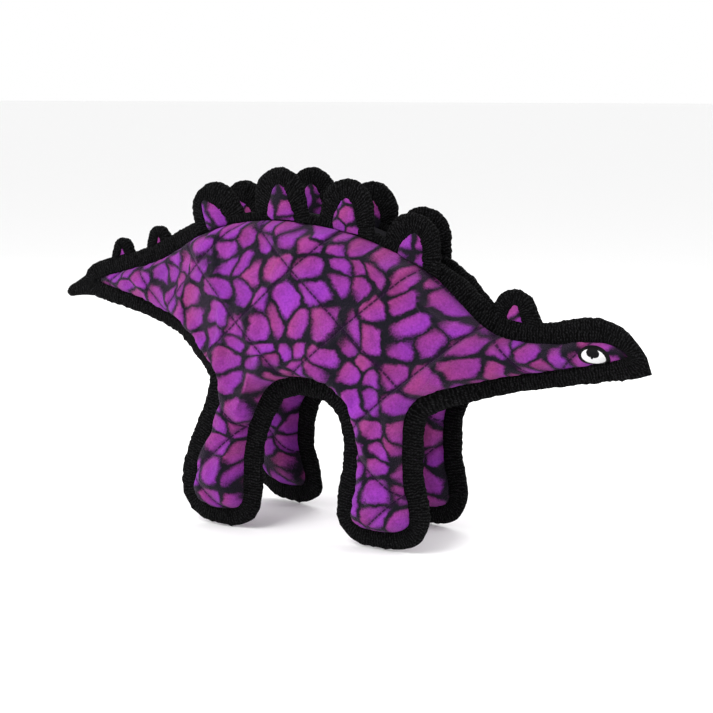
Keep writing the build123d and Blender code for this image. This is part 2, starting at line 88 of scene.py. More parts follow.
# Seam line of the right side panel: x, half spacing, z and how wide the webbing stands outside it.
# It runs from the tail tip along the back to the nose, then back under the neck and round the legs.
SEAM = [
    (-176, 0.8, 138.5, 10), (-167, 0.8, 143, 9.5), (-152, 1.0, 146.8, 9.5), (-127, 1.8, 153.5, 10),
    (-103, 5.0, 164.3, 10), (-88, 11, 171, 9), (-70, 17.5, 177.5, 5), (-46, 19.5, 183, 5),
    (-16, 18.5, 184.2, 5), (20, 15.5, 179.3, 5), (50, 12, 169.0, 5), (70, 8.5, 158.5, 7),
    (83, 5.5, 147.8, 10), (93, 3.4, 137.3, 11), (102, 2, 128.8, 11), (113, 1, 123.4, 11),
    (128, 0.7, 121.6, 10.2), (146, 0.6, 122.2, 11.0), (162, 0.6, 124.3, 12.5), (174, 0.6, 124.6, 13),
    (183, 0.6, 122.2, 12.5), (188.5, 0.6, 117.0, 12.5), (180, 0.6, 113.2, 9.5), (165, 0.6, 109.8, 9),
    (146, 0.7, 105.6, 9), (122, 1.8, 101, 9), (104, 7, 96.8, 9.5), (92, 15.5, 94, 10),
    (82, 26, 91.2, 10.5), (74, 33, 86, 11), (70, 35, 76, 11.5), (69, 35, 60, 11.5),
    (69.5, 35, 42, 11.5), (73, 35, 27, 11.5), (73.5, 35, 17, 10.5), (67, 35, 11.3, 10.2),
    (54, 35, 9.8, 9.8), (42, 35, 10.6, 9.8), (35.5, 35, 16, 10.2), (36, 35, 28, 11),
    (39.5, 35, 46, 11), (39.5, 35, 64, 11), (35, 35, 79, 11), (25, 35, 90, 11),
    (11, 35, 94.5, 11), (-5, 35, 94.5, 11), (-19, 35, 89, 11), (-28, 35, 76, 11),
    (-35, 35, 60, 11), (-38, 35, 42, 11), (-38.6, 35, 24, 11), (-40.5, 35, 14.5, 10.3),
    (-47, 35, 10.4, 9.9), (-57, 35, 9.8, 9.8), (-68, 35, 12.3, 10.2), (-74, 35, 20, 11),
    (-73, 35, 33, 11.5), (-66.5, 35, 50, 11.5), (-58.5, 35, 67, 11.5), (-54.5, 34.5, 82, 11),
    (-57, 32.5, 94, 10.5), (-68, 27.5, 102.3, 10), (-84, 18.5, 110.3, 9.5), (-103, 7, 118.5, 9.5),
    (-127, 2, 126, 9.5), (-150, 1.0, 131.6, 9.5), (-167, 0.8, 135.2, 9.5),
]
# Outline of the head's webbing, from over the eye round the point of the nose to under the jaw.
HEAD_OUTLINE = [
    (140, 132.4), (150, 134.2), (160, 136.6), (170, 137.0), (179, 134.4), (187, 129.6), (193, 123.8),
    (197.5, 116.5), (201, 109.5), (200.2, 107.3), (192, 105.2), (181, 103.2), (166, 100.4), (150, 97.3),
    (138, 95.0),
]
HEAD_START, HEAD_EASE = 148.0, 8.0  # where the webbing starts to reach for that outline, and how gradually
# Plates: x, half spacing and z of the base, its slope, the dome's lean, half base, radius and height,
# then the fleece: lean, half base and height.
BACK_PLATES = [
    (-65, 18.8, 178.8, 16, -22, 19.6, 17.2, 27.5, -38, 9.2, 20.0),
    (-22, 19.0, 184.3, -1, -7, 19.0, 17.2, 31.0, -3, 10.4, 21.5),
    (19.5, 15.9, 179.6, -12, 3, 19.2, 17.2, 30.0, 6, 10.2, 19.0),
    (59.5, 11.2, 164.6, -27, 5, 20.5, 17.8, 26.5, 17, 10.2, 15.5),
]
# How far each left plate's stitching sits along the seam and up from its right-hand twin.
LEFT_PLATE_SHIFTS = [(-4.0, -1.0), (-1.0, -1.5), (-1.5, -3.0), (-4.5, 2.0)]
# Small plates: the body they sit on, a row as above, the foot of the fleece and the CAD node of the fleece.
SMALL_PLATES = {
    "tail_plate_rear":
        ("tail", (-154.2, 0, 148.6, 14, 0, 12.5, 8.2, 18.2, -4, 2.3, 4.4), 156.8, "tail_plate_faces"),
    "tail_plate_front":
        ("tail", (-125.2, 0, 157.0, 18, -2, 12.8, 9.0, 18.6, -4, 2.5, 4.8), 164.8, None),
    "neck_plate":
        ("neck", (120.0, 0, 129.8, -6, -2, 19.5, 13.6, 20.0, 3, 5.8, 9.2), 132.6, "neck_plate_face"),
}
# Points across the top of each leg that close its inner panel.
INNER_LEG_TOPS = {
    "rear": [(-54, 29, 99), (-36, 26, 101), (-20, 29, 98)],
    "front": [(30, 30, 99), (50, 26, 101), (72, 28, 98)],
}
LEG_SPANS = {"rear": (-80, -16), "front": (20, 78)}  # where each leg's part of the seam lies along x
LEG_TOP, LEG_ZONE_TOP = 92, 96  # where the inner panels end, and below which a spot belongs to a leg
# Belly gusset: x, half width and z.
BELLY = [
    (-127, 2, 126), (-103, 7.3, 118.5), (-84, 18.8, 110.3), (-68, 27.8, 102.3), (-57, 32.5, 97.5),
    (-38, 35, 95), (-5, 35, 94.5), (11, 35, 94.5), (40, 35, 94.5), (70, 33, 93), (82, 26, 91.5),
    (92, 15.8, 94), (104, 7.3, 96.8), (116, 3, 99.6),
]
# The folded webbing past the tail tip: x, z, half height and half width.
TAIL_END = [
    (-172, 138.4, 9.2, 3.0), (-179, 137, 8.8, 3.0), (-186, 134.5, 6.4, 2.9), (-193, 132, 4.6, 2.8),
    (-198, 130.3, 3.6, 2.4), (-200.6, 129.6, 1.2, 1.2),
]
# Half of the webbing's cross-section: how far out it is, and its half thickness, as shares of width and fold.
TAPE_PROFILE = [
    (-0.09, 0.86), (-0.02, 1.02), (0.1, 1.1), (0.25, 1.08), (0.45, 1.02), (0.65, 0.97), (0.82, 0.86),
    (0.93, 0.62), (0.99, 0.28),
]
TAPE_HALF, PLATE_TAPE_HALF = 2.7, 2.6
TAPE_STEP = 1.5
TAPE_SEED, TAPE_ROUGHNESS = 11, 0.17
TAPE_SHIFT = 13.7  # starts the ribs of each plate's webbing at another place

QUILT_ANGLES = (43.0, -41.0)
QUILT_SPACING = 47.0
QUILT_DEPTH, QUILT_WIDTH = 1.5, 5.0
MESH_STEP = 3.0
PLATE_STEP = 1.8
CURVE_SAMPLES = 24  # points on each span of a curve before it is spaced evenly
ARCH_POINTS = 60

# How far padding rises, as (fullness, spread): a wide panel levels off towards the spread.
SIDE_PADDING = (1.1, 34.0)
INNER_LEG_PADDING = (1.08, 30.0)
PLATE_PADDING = (0.55, 12.0)
SEAM_FLAT = 4.5  # how wide the fabric stays flat beside its seam
CLOTH_FRAMES = 16
CLOTH_PRESSURE = 5.0
CLOTH_SLACK = 0.035  # the share by which the cloth grows
CLOTH_REACH = 5.0  # the furthest that a point may move in the simulation

RIGHT, LEFT = -1, 1
SIDES = {"right": RIGHT, "left": LEFT}

# Bend zones between bodies: the body they leave, then where the bend starts and ends. Only the names are
# read, and no piece is bent.
BENDS = {
    "tail": ("torso", (-90, 0, 0), (-116, 0, 0)),
    "neck": ("torso", (86, 0, 0), (104, 0, 0)),
    "head": ("neck", (136, 0, 0), (157, 0, 0)),
    "leg": ("torso", (0, 0, 93), (0, 0, 66)),
}


# ---- small helpers
def to_frame(points):
    """Drawing units to the row frame in metres."""
    p = np.asarray(points, float) * UNIT
    return p + np.array([CENTRE_X, 0.0, GROUND_Z])


def run_length(points):
    """Length along a run of points, up to each point."""
    return np.concatenate([[0], np.cumsum(np.linalg.norm(np.diff(points, axis=0), axis=1))])


def smooth_loop(points, step, closed=True):
    """Points at even spacing along a Catmull-Rom curve through the given points."""
    p = np.asarray(points, float)
    n = len(p)
    dense = []
    last = n if closed else n - 1
    for i in range(last):
        if closed:
            a, b, c, d = p[(i - 1) % n], p[i], p[(i + 1) % n], p[(i + 2) % n]
        else:
            a, b, c, d = p[max(i - 1, 0)], p[i], p[i + 1], p[min(i + 2, n - 1)]
        square, cube = 2 * a - 5 * b + 4 * c - d, 3 * b - a - 3 * c + d
        for t in np.linspace(0, 1, CURVE_SAMPLES, endpoint=False):
            dense.append(0.5 * (2 * b + (c - a) * t + square * t * t + cube * t**3))
    dense.append(p[0] if closed else p[-1])
    dense = np.array(dense)
    s = run_length(dense[:, [0, 2]])
    count = max(int(round(s[-1] / step)), 4)
    at = np.linspace(0, s[-1], count + 1)
    out = np.stack([np.interp(at, s, dense[:, k]) for k in range(dense.shape[1])], axis=1)
    return out[:-1] if closed else out


def inside_polygon(points, polygon):
    """True for each 2-D point inside the polygon."""
    x, z = points[:, 0], points[:, 1]
    inside = np.zeros(len(points), bool)
    j = len(polygon) - 1
    for i in range(len(polygon)):
        xi, zi = polygon[i]
        xj, zj = polygon[j]
        cross = ((zi > z) != (zj > z)) & (x < (xj - xi) * (z - zi) / (zj - zi + 1e-12) + xi)
        inside ^= cross
        j = i
    return inside


def distance_to(points, loop):
    """Distance of each 2-D point from the nearest loop point."""
    best = np.full(len(points), 1e9)
    for start in range(0, len(loop), 64):
        part = loop[start : start + 64]
        best = np.minimum(best, np.linalg.norm(points[:, None] - part[None], axis=2).min(axis=1))
    return best


def make_mesh(name, verts, faces):
    mesh = bpy.data.meshes.new(name)
    mesh.from_pydata([tuple(v) for v in verts], [], [tuple(f) for f in faces])
    mesh.update()
    return mesh


def new_object(name, mesh):
    obj = bpy.data.objects.new(name, mesh)
    bpy.context.scene.collection.objects.link(obj)
    return obj


def vector_attribute(mesh, name, values):
    data = mesh.attributes.get(name) or mesh.attributes.new(name, "FLOAT_VECTOR", "POINT")
    data.data.foreach_set("vector", np.asarray(values, np.float32).ravel())


def coordinates(mesh):
    out = np.zeros(len(mesh.vertices) * 3)
    mesh.vertices.foreach_get("co", out)
    return out.reshape(-1, 3)


def smooth_piece(name, verts, faces, attributes, material, nodes=()):
    """A smooth-shaded piece with its texture attributes and material, standing for the given CAD nodes."""
    mesh = make_mesh(name, verts, faces)
    for key, values in attributes.items():
        vector_attribute(mesh, key, values)
    for p in mesh.polygons:
        p.use_smooth = True
    mesh.materials.append(material)
    obj = new_object(name, mesh)
    if nodes:
        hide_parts(*nodes)
    return obj


def evaluated(obj):
    """Points and faces of an object after its modifiers; the object is removed."""
    source = obj.evaluated_get(bpy.context.evaluated_depsgraph_get())
    result = source.to_mesh()
    points = coordinates(result)
    faces = [tuple(p.vertices) for p in result.polygons]
    source.to_mesh_clear()
    mesh = obj.data
    bpy.data.objects.remove(obj)
    bpy.data.meshes.remove(mesh)
    return points, faces


# ---- fleece panels
def quilt_lines(polygon, margin):
    """Quilting lines as runs of points that stay inside the polygon."""
    runs = []
    for angle in QUILT_ANGLES:
        a = math.radians(angle)
        along = np.array([math.cos(a), math.sin(a)])
        across = np.array([-math.sin(a), math.cos(a)])
        for k in range(-9, 10):
            t = np.arange(-420, 420, MESH_STEP)
            points = across * (k + 0.5) * QUILT_SPACING + along * t[:, None]
            ok = inside_polygon(points, polygon)
            near = distance_to(points[ok], polygon) if ok.any() else []
            ok[np.where(ok)[0][np.asarray(near) < margin]] = False
            run = []
            for point, good in zip(points, ok):
                if good:
                    run.append(point)
                elif run:
                    runs.append(run)
                    run = []
            if run:
                runs.append(run)
    return [r for r in runs if len(r) > 2]


def quilt_distance(x, z):
    """Distance from the nearest quilting line."""
    best = np.full(np.shape(x), 1e9)
    for angle in QUILT_ANGLES:
        a = math.radians(angle)
        v = (-np.sin(a) * x + np.cos(a) * z) / QUILT_SPACING
        best = np.minimum(best, np.abs(v - np.floor(v) - 0.5) * QUILT_SPACING)
    return best


def triangulate(loop, step, quilted):
    """Fills a loop of (x, z) points with even triangles that follow the quilting lines."""
    low, high = loop.min(axis=0), loop.max(axis=0)
    xs = np.arange(low[0], high[0], step)
    zs = np.arange(low[1], high[1], step * 0.866)
    grid = np.array([(x + (0.5 * step if j % 2 else 0), z) for j, z in enumerate(zs) for x in xs])
    grid = grid[inside_polygon(grid, loop)]
    grid = grid[distance_to(grid, loop) > 0.62 * step]
    verts = [tuple(p) for p in loop]
    edges = [(i, (i + 1) % len(loop)) for i in range(len(loop))]
    if quilted:
        grid = grid[quilt_distance(grid[:, 0], grid[:, 1]) > 0.5 * step]
        for run in quilt_lines(loop, 1.2 * step):
            first = len(verts)
            verts += [tuple(p) for p in run]
            edges += [(first + i, first + i + 1) for i in range(len(run) - 1)]
    verts += [tuple(p) for p in grid]
    out = delaunay_2d_cdt([Vector(v) for v in verts], edges, [], 1, 1e-4)
    points = np.array([tuple(v) for v in out[0]])
    faces = np.array([f for f in out[2] if len(f) == 3])
    used = np.unique(faces)
    remap = -np.ones(len(points), int)
    remap[used] = np.arange(len(used))
    return points[used], remap[faces]


def stiffness(points, faces):
    """Cotangent Laplacian and lumped area of a flat triangle mesh."""
    n = len(points)
    matrix = np.zeros((n, n))
    area = np.zeros(n)
    p = points[faces]
    double = np.abs(np.cross(p[:, 1] - p[:, 0], p[:, 2] - p[:, 0])) + 1e-9
    for k in range(3):
        i, j, o = faces[:, (k + 1) % 3], faces[:, (k + 2) % 3], k
        a = p[:, (k + 1) % 3] - p[:, o]
        b = p[:, (k + 2) % 3] - p[:, o]
        cot = 0.5 * np.clip((a * b).sum(axis=1) / double, -5, 5)
        np.add.at(matrix, (i, j), -cot)
        np.add.at(matrix, (j, i), -cot)
        np.add.at(matrix, (i, i), cot)
        np.add.at(matrix, (j, j), cot)
        np.add.at(area, faces[:, k], double / 6)
    return matrix, area


def boundary_of(faces, count):
    """Vertices on an edge that has only one triangle."""
    seen = {}
    for f in faces:
        for k in range(3):
            e = tuple(sorted((f[k], f[(k + 1) % 3])))
            seen[e] = seen.get(e, 0) + 1
    mask = np.zeros(count, bool)
    for (a, b), uses in seen.items():
        if uses == 1:
            mask[a] = mask[b] = True
    return mask


def inflate(points, faces, rim, rim_y, fullness, spread):
    """Base height between the seams and the height of the puffed fabric above it."""
    matrix, area = stiffness(points, faces)
    free = np.where(~rim)[0]
    edge = np.where(rim)[0]
    rhs = np.stack([-matrix[np.ix_(free, edge)] @ rim_y[edge], area[free]], axis=1)
    solved = np.linalg.solve(matrix[np.ix_(free, free)], rhs)
    base = rim_y.copy()
    base[free] = solved[:, 0]
    u = np.zeros(len(points))
    u[free] = np.maximum(solved[:, 1], 0)
    w = 2 * np.sqrt(u)
    puff = fullness * w / (1 + w / spread) * (1 - np.exp(-((w / SEAM_FLAT) ** 2)))
    return base, puff


def puffed_panel(loop, quilted, padding, step=MESH_STEP):
    """A panel inside a loop of (x, half spacing, z): points in drawing units, triangles and the rim.

    y is positive outwards."""
    flat, faces = triangulate(loop[:, [0, 2]], step, quilted)
    rim = boundary_of(faces, len(flat))
    nearest = np.array([np.argmin(((loop[:, [0, 2]] - p) ** 2).sum(axis=1)) for p in flat])
    base, puff = inflate(flat, faces, rim, loop[nearest, 1], *padding)
    if quilted:
        d = quilt_distance(flat[:, 0], flat[:, 1])
        room = np.clip(puff / 10, 0, 1)
        puff = puff - room * (QUILT_DEPTH * np.exp(-((d / QUILT_WIDTH) ** 2)))
    points = np.stack([flat[:, 0], base + puff, flat[:, 1]], axis=1)
    return points, faces, rim


def settle_cloth(points, faces, pinned):
    """Runs the fabric as pressurised cloth held at its stitches and returns the settled points."""
    scale = 0.01
    mesh = make_mesh("cloth_run", points * scale, faces)
    obj = new_object("cloth_run", mesh)
    group = obj.vertex_groups.new(name="stitches")
    group.add([int(i) for i in np.where(pinned)[0]], 1.0, "REPLACE")
    modifier = obj.modifiers.new("Cloth", "CLOTH")
    s = modifier.settings
    s.quality = 6
    s.mass = 0.35
    s.tension_stiffness = s.compression_stiffness = 12
    s.shear_stiffness = 6
    s.bending_stiffness = 0.6
    s.air_damping = 3
    s.effector_weights.gravity = 0
    s.use_pressure = True
    s.uniform_pressure_force = CLOTH_PRESSURE
    s.shrink_min = s.shrink_max = -CLOTH_SLACK
    s.vertex_group_mass = "stitches"
    s.pin_stiffness = 1
    modifier.collision_settings.use_collision = False
    modifier.point_cache.frame_start = 1
    modifier.point_cache.frame_end = CLOTH_FRAMES
    scene = bpy.context.scene
    for f in range(1, CLOTH_FRAMES + 1):
        scene.frame_set(f)
    settled = evaluated(obj)[0] / scale
    scene.frame_set(1)
    return settled


def draped(points, faces, rim):
    """Lets the panel settle as cloth, but moves no point further than the reach allowed."""
    d = quilt_distance(points[:, 0], points[:, 2])
    pinned = rim | (d < 0.3)
    move = settle_cloth(points, faces, pinned) - points
    length = np.linalg.norm(move, axis=1, keepdims=True)
    if not np.isfinite(length).all():
        return points
    return points + move * np.minimum(1, CLOTH_REACH / np.maximum(length, 1e-6))


def subdivided(points, faces):
    """Points and faces after one smooth subdivision of a mesh."""
    obj = new_object("sub", make_mesh("sub", points, faces))
    modifier = obj.modifiers.new("smooth", "SUBSURF")
    modifier.levels = modifier.render_levels = 1
    modifier.boundary_smooth = "PRESERVE_CORNERS"
    return evaluated(obj)


# ---- pieces cut by zone; torso pieces ride on the torso body
def zone_of(x, z, legs):
    """The zone a spot belongs to, by its place in the side view."""
    if legs and z < LEG_ZONE_TOP and -98 < x < -11:
        return "rear_leg"
    # Above z = 75 the webbing past x = 84 already runs up to the neck.
    if legs and z < LEG_ZONE_TOP and 14 < x < (84 if z > 75 else 96):
        return "front_leg"
    if x < -87:
        return "tail"
    if x > 134:
        return "head"
    if x > 84:
        return "neck"
    return "torso"


def follow(obj, zone):
    """Makes a torso piece ride on the torso body; any other piece only has its transform applied."""
    if zone == "torso":
        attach(obj, "torso")
        return
    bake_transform(obj)


def split_by_zone(name, verts, faces, attributes, material, nodes, legs=True):
    """Cuts a mesh into one piece for each zone, with the shading normals of the whole."""
    verts = np.asarray(verts, float)
    whole = make_mesh(name + "_whole", verts, faces)
    for p in whole.polygons:
        p.use_smooth = True
    whole.update()
    normals = np.array([tuple(n.vector) for n in whole.vertex_normals])
    centres = np.array([verts[list(f)].mean(axis=0) for f in faces])
    zones = [zone_of(c[0], c[2], legs) for c in (centres - np.array([CENTRE_X, 0, GROUND_Z])) / UNIT]
    for zone in sorted(set(zones)):
        own = [f for f, z in zip(faces, zones) if z == zone]
        used = sorted({i for f in own for i in f})
        index = {v: k for k, v in enumerate(used)}
        turned = [[index[i] for i in f] for f in own]
        looks = {key: np.asarray(values)[used] for key, values in attributes.items()}
        obj = smooth_piece(f"{name}_{zone}", verts[used], turned, looks, material, nodes.get(zone, ()))
        obj.data.normals_split_custom_set_from_vertices([tuple(n) for n in normals[used]])
        follow(obj, zone)
    bpy.data.meshes.remove(whole)


# ---- webbing
def ray_reach(start, direction, outline):
    """Distance from a point to an outline of (x, z) points along a direction, or None."""
    best = None
    for (ax, az), (bx, bz) in zip(outline[:-1], outline[1:]):
        ex, ez = bx - ax, bz - az
        det = direction[0] * -ez + direction[1] * ex
        if abs(det) < 1e-9:
            continue
        rx, rz = ax - start[0], az - start[1]
        t = (rx * -ez + rz * ex) / det
        u = (direction[0] * rz - direction[1] * rx) / det
        if t > 0 and -1e-6 <= u <= 1 + 1e-6 and (best is None or t < best):
            best = t
    return best


def webbing_mesh(path, half, closed, outer=None):
    """Folded webbing along a path of (x, y, z, width): points, faces and tape coordinates.

    The webbing reaches out by its width, or to the matching point of outer. Tape coordinates are the distance
    along the webbing, across it, and out from the path."""
    path = np.asarray(path, float)
    n = len(path)
    flat = path[:, [0, 2]]
    if closed:
        tangent = np.roll(flat, -1, axis=0) - np.roll(flat, 1, axis=0)
    else:
        tangent = np.gradient(flat, axis=0)
    for _ in range(3):
        if closed:
            tangent = (np.roll(tangent, 1, axis=0) + tangent + np.roll(tangent, -1, axis=0)) / 3
        else:
            inner = (tangent[:-2] + tangent[1:-1] + tangent[2:]) / 3
            tangent = np.vstack([tangent[:1], inner, tangent[-1:]])
    tangent /= np.linalg.norm(tangent, axis=1, keepdims=True)
    normal = np.stack([-tangent[:, 1], tangent[:, 0]], axis=1)
    widths = path[:, 3].copy()
    if outer is not None:
        normal = outer - flat
        widths = np.linalg.norm(normal, axis=1)
        normal = normal / widths[:, None]
    elif closed:
        for i in np.where(flat[:, 0] > HEAD_START)[0]:
            reach = ray_reach(flat[i], normal[i], HEAD_OUTLINE)
            if reach is not None:
                ease = min(1.0, (flat[i, 0] - HEAD_START) / HEAD_EASE)
                widths[i] += ease * (reach - widths[i])
    along = run_length(flat + normal * widths[:, None] * 0.6)
    lump = 0.10 * np.sin(along * 0.9) + 0.12 * np.sin(along * 0.37 + 1.0) + 0.08 * np.sin(along * 2.1 + 2.0)
    ring = np.array(TAPE_PROFILE + [(1.0, 0.0)] + [(a, -b) for a, b in reversed(TAPE_PROFILE)])
    verts, tape = [], []
    rough = np.random.default_rng(TAPE_SEED).normal(0, TAPE_ROUGHNESS, (n, len(ring)))
    across = run_length(ring * [10, half])
    for i in range(n):
        width = widths[i] + lump[i] * 1.2
        out = ring[:, 0] * width + rough[i]
        b = ring[:, 1] * half * (1 + 0.5 * lump[i] + 0.4 * rough[i])
        x = flat[i, 0] + normal[i, 0] * out
        z = flat[i, 1] + normal[i, 1] * out
        verts.append(np.stack([x, path[i, 1] + b, z], axis=1))
        tape.append(np.stack([np.full(len(ring), along[i]), across, out], axis=1))
    m = len(ring)
    faces = []
    for i in range(n if closed else n - 1):
        j = (i + 1) % n
        for k in range(m):
            k2 = (k + 1) % m
            faces.append((i * m + k, j * m + k, j * m + k2, i * m + k2))
    if not closed:
        faces.append(tuple(range(m)))
        faces.append(tuple((n - 1) * m + k for k in reversed(range(m))))
    return np.vstack(verts), faces, np.vstack(tape)


def turned_over(faces):
    return [tuple(reversed(f)) for f in faces]


def oriented(points, faces, sign):
    """Frame points of a side, and its faces, turned over on the left. y is positive outwards in points."""
    world = to_frame(points * np.array([1, sign, 1]))
    return world, (faces if sign == RIGHT else turned_over(faces))


# ---- materials
class Nodes:
    """A small helper for building shader trees."""

    def __init__(self, name):
        self.material = bpy.data.materials.new(name)
        self.material.use_nodes = True
        self.tree = self.material.node_tree
        self.bsdf = self.tree.nodes["Principled BSDF"]

    def add(self, kind, **settings):
        node = self.tree.nodes.new(kind)
        for key, value in settings.items():
            setattr(node, key, value)
        return node

    def link(self, a, b):
        self.tree.links.new(a, b)

    def put(self, socket, value):
        if hasattr(value, "is_linked") or hasattr(value, "links"):
            self.link(value, socket)
        else:
            socket.default_value = value

    def math(self, operation, a, b=0.0, clamp=False):
        node = self.add("ShaderNodeMath", operation=operation, use_clamp=clamp)
        self.put(node.inputs[0], a)
        self.put(node.inputs[1], b)
        return node.outputs[0]

    def plus(self, a, b, clamp=False):
        return self.math("ADD", a, b, clamp)

    def minus(self, a, b):
        return self.math("SUBTRACT", a, b)

    def times(self, a, b):
        return self.math("MULTIPLY", a, b)

    def weighted(self, a, a_weight, b, b_weight):
        """a and b, each times its weight, added up."""
        return self.plus(self.times(a, a_weight), self.times(b, b_weight))

    def wave(self, angle):
        """A sine of an angle, from 0 to 1."""
        return self.plus(0.5, self.times(self.math("SINE", angle), 0.5))

    def vector(self, operation, a, b=(0, 0, 0)):
        node = self.add("ShaderNodeVectorMath", operation=operation)
        self.put(node.inputs[0], a)
        self.put(node.inputs[1], b)
        return node.outputs["Value"] if operation in ("DOT_PRODUCT", "LENGTH") else node.outputs[0]

    def scale(self, a, factor):
        node = self.add("ShaderNodeVectorMath", operation="SCALE")
        self.put(node.inputs[0], a)
        self.put(node.inputs["Scale"], factor)
        return node.outputs[0]

    def attribute(self, name):
        return self.add("ShaderNodeAttribute", attribute_name=name).outputs["Vector"]

    def noise(self, vector, scale, detail=2.0, rough=0.5, kind="Fac"):
        node = self.add("ShaderNodeTexNoise")
        self.put(node.inputs["Vector"], vector)
        node.inputs["Scale"].default_value = scale
        node.inputs["Detail"].default_value = detail
        node.inputs["Roughness"].default_value = rough
        return node.outputs[kind if kind in node.outputs else 0]

    def drift(self, vector, scale, detail, rough, amount):
        """A noise offset, centred on nothing."""
        noise = self.noise(vector, scale, detail, rough, "Color")
        return self.scale(self.vector("SUBTRACT", noise, (0.5, 0.5, 0.5)), amount)

    def ramp(self, value, low, high, smooth=True):
        node = self.add("ShaderNodeMapRange", interpolation_type="SMOOTHSTEP" if smooth else "LINEAR")
        self.put(node.inputs["Value"], value)
        self.put(node.inputs["From Min"], low)
        self.put(node.inputs["From Max"], high)
        return node.outputs["Result"]

    def mix(self, factor, a, b, **settings):
        node = self.add("ShaderNodeMix", data_type="RGBA", **settings)
        self.put(node.inputs["Factor"], factor)
        self.put(node.inputs[6], a)
        self.put(node.inputs[7], b)
        return node.outputs[2]

    def bump(self, height, distance, strength=1.0, normal=None):
        node = self.add("ShaderNodeBump")
        self.put(node.inputs["Height"], height)
        node.inputs["Distance"].default_value = distance
        node.inputs["Strength"].default_value = strength
        if normal is not None:
            self.link(normal, node.inputs["Normal"])
        return node.outputs["Normal"]

    def finish(self, color, roughness, normal=None, sheen=0.0, sheen_tint=(1, 1, 1, 1), specular=0.3):
        self.put(self.bsdf.inputs["Base Color"], color)
        self.put(self.bsdf.inputs["Roughness"], roughness)
        self.bsdf.inputs["Specular IOR Level"].default_value = specular
        self.bsdf.inputs["Sheen Weight"].default_value = sheen
        self.bsdf.inputs["Sheen Roughness"].default_value = 0.45
        self.bsdf.inputs["Sheen Tint"].default_value = sheen_tint
        if normal is not None:
            self.link(normal, self.bsdf.inputs["Normal"])
        return self.material


MAGENTA = (0.270, 0.038, 0.170, 1)
VIOLET = (0.235, 0.030, 0.345, 1)
DEEP_PURPLE = (0.085, 0.006, 0.10, 1)
GROUND = ((0.0030, 0.0034, 0.0060, 1), (0.0090, 0.0082, 0.0130, 1))
SCALE_LENGTH, SCALE_HEIGHT = 15.5, 13.8  # mean size of a printed scale
STITCH_LENGTH = 3.4
RIB_SPACING, KNOT_SPACING = 1.75, 1.5
THREAD_SPACING = 0.42


def quilt_groove(n, x, z):
    """Distance in drawing units from the nearest quilting line, and where its stitches show."""
    best, stitches = None, None
    for angle in QUILT_ANGLES:
        a = math.radians(angle)
        v = n.weighted(x, -math.sin(a) / QUILT_SPACING, z, math.cos(a) / QUILT_SPACING)
        away = n.math("ABSOLUTE", n.minus(n.math("FRACT", v), 0.5))
        d = n.times(away, QUILT_SPACING)
        run = n.weighted(x, math.cos(a) / STITCH_LENGTH, z, math.sin(a) / STITCH_LENGTH)
        gap = n.math("ABSOLUTE", n.minus(n.math("FRACT", run), 0.5))
        on_line = n.minus(1.0, n.ramp(d, 0.3, 0.75))
        in_stitch = n.minus(1.0, n.ramp(gap, 0.36, 0.46))
        stitch = n.times(on_line, in_stitch)
        best = d if best is None else n.math("MINIMUM", best, d)
        stitches = stitch if stitches is None else n.math("MAXIMUM", stitches, stitch)
    return best, stitches


def scale_print(n, rest):
    """Colour of the printed scales: magenta to violet cells on a dark ground, with soft edges.

    Also returns the separated coordinates."""
    xyz = n.add("ShaderNodeSeparateXYZ")
    n.link(rest, xyz.inputs[0])
    flat = n.add("ShaderNodeCombineXYZ")
    n.link(n.times(xyz.outputs[0], 1.0 / SCALE_LENGTH), flat.inputs[0])
    n.link(n.times(xyz.outputs[2], 1.0 / SCALE_HEIGHT), flat.inputs[1])
    broad = n.drift(flat.outputs[0], 0.35, 1.0, 0.5, 2.0)
    wobble = n.drift(flat.outputs[0], 1.6, 2.0, 0.5, 0.36)
    fine = n.drift(flat.outputs[0], 9.0, 3.0, 0.6, 0.09)
    where = n.vector("ADD", n.vector("ADD", flat.outputs[0], n.vector("ADD", wobble, fine)), broad)
    nodes = {}
    for feature in ("F1", "F2"):
        nodes[feature] = n.add("ShaderNodeTexVoronoi", voronoi_dimensions="2D", feature=feature)
        n.link(where, nodes[feature].inputs["Vector"])
        nodes[feature].inputs["Scale"].default_value = 1.0
        nodes[feature].inputs["Randomness"].default_value = 0.82
    cell = nodes["F1"]
    gap = n.minus(nodes["F2"].outputs["Distance"], cell.outputs["Distance"])
    corner = n.math("MAXIMUM", n.minus(cell.outputs["Distance"], 0.38), 0.0)
    gap = n.minus(gap, n.times(corner, 0.5))
    offset = n.vector("SUBTRACT", where, cell.outputs["Position"])
    slant = n.vector("DOT_PRODUCT", offset, (0.8, -0.5, 0.0))
    pick = n.add("ShaderNodeSeparateXYZ")
    n.link(cell.outputs["Color"], pick.inputs[0])
    own_hue = n.plus(pick.outputs[0], 0.02)
    blend = n.plus(n.times(slant, 1.1), own_hue, clamp=True)
    fill = n.mix(blend, MAGENTA, VIOLET)
    fill = n.mix(n.times(pick.outputs[1], 0.3), fill, DEEP_PURPLE)
    fibre = n.ramp(n.noise(rest, 1.1, 3.0, 0.7), 0.3, 0.7, False)
    soft = n.times(n.minus(fibre, 0.5), 0.12)
    mask = n.ramp(n.plus(gap, soft), -0.02, 0.36)
    return n.mix(mask, n.mix(fibre, *GROUND), fill), xyz


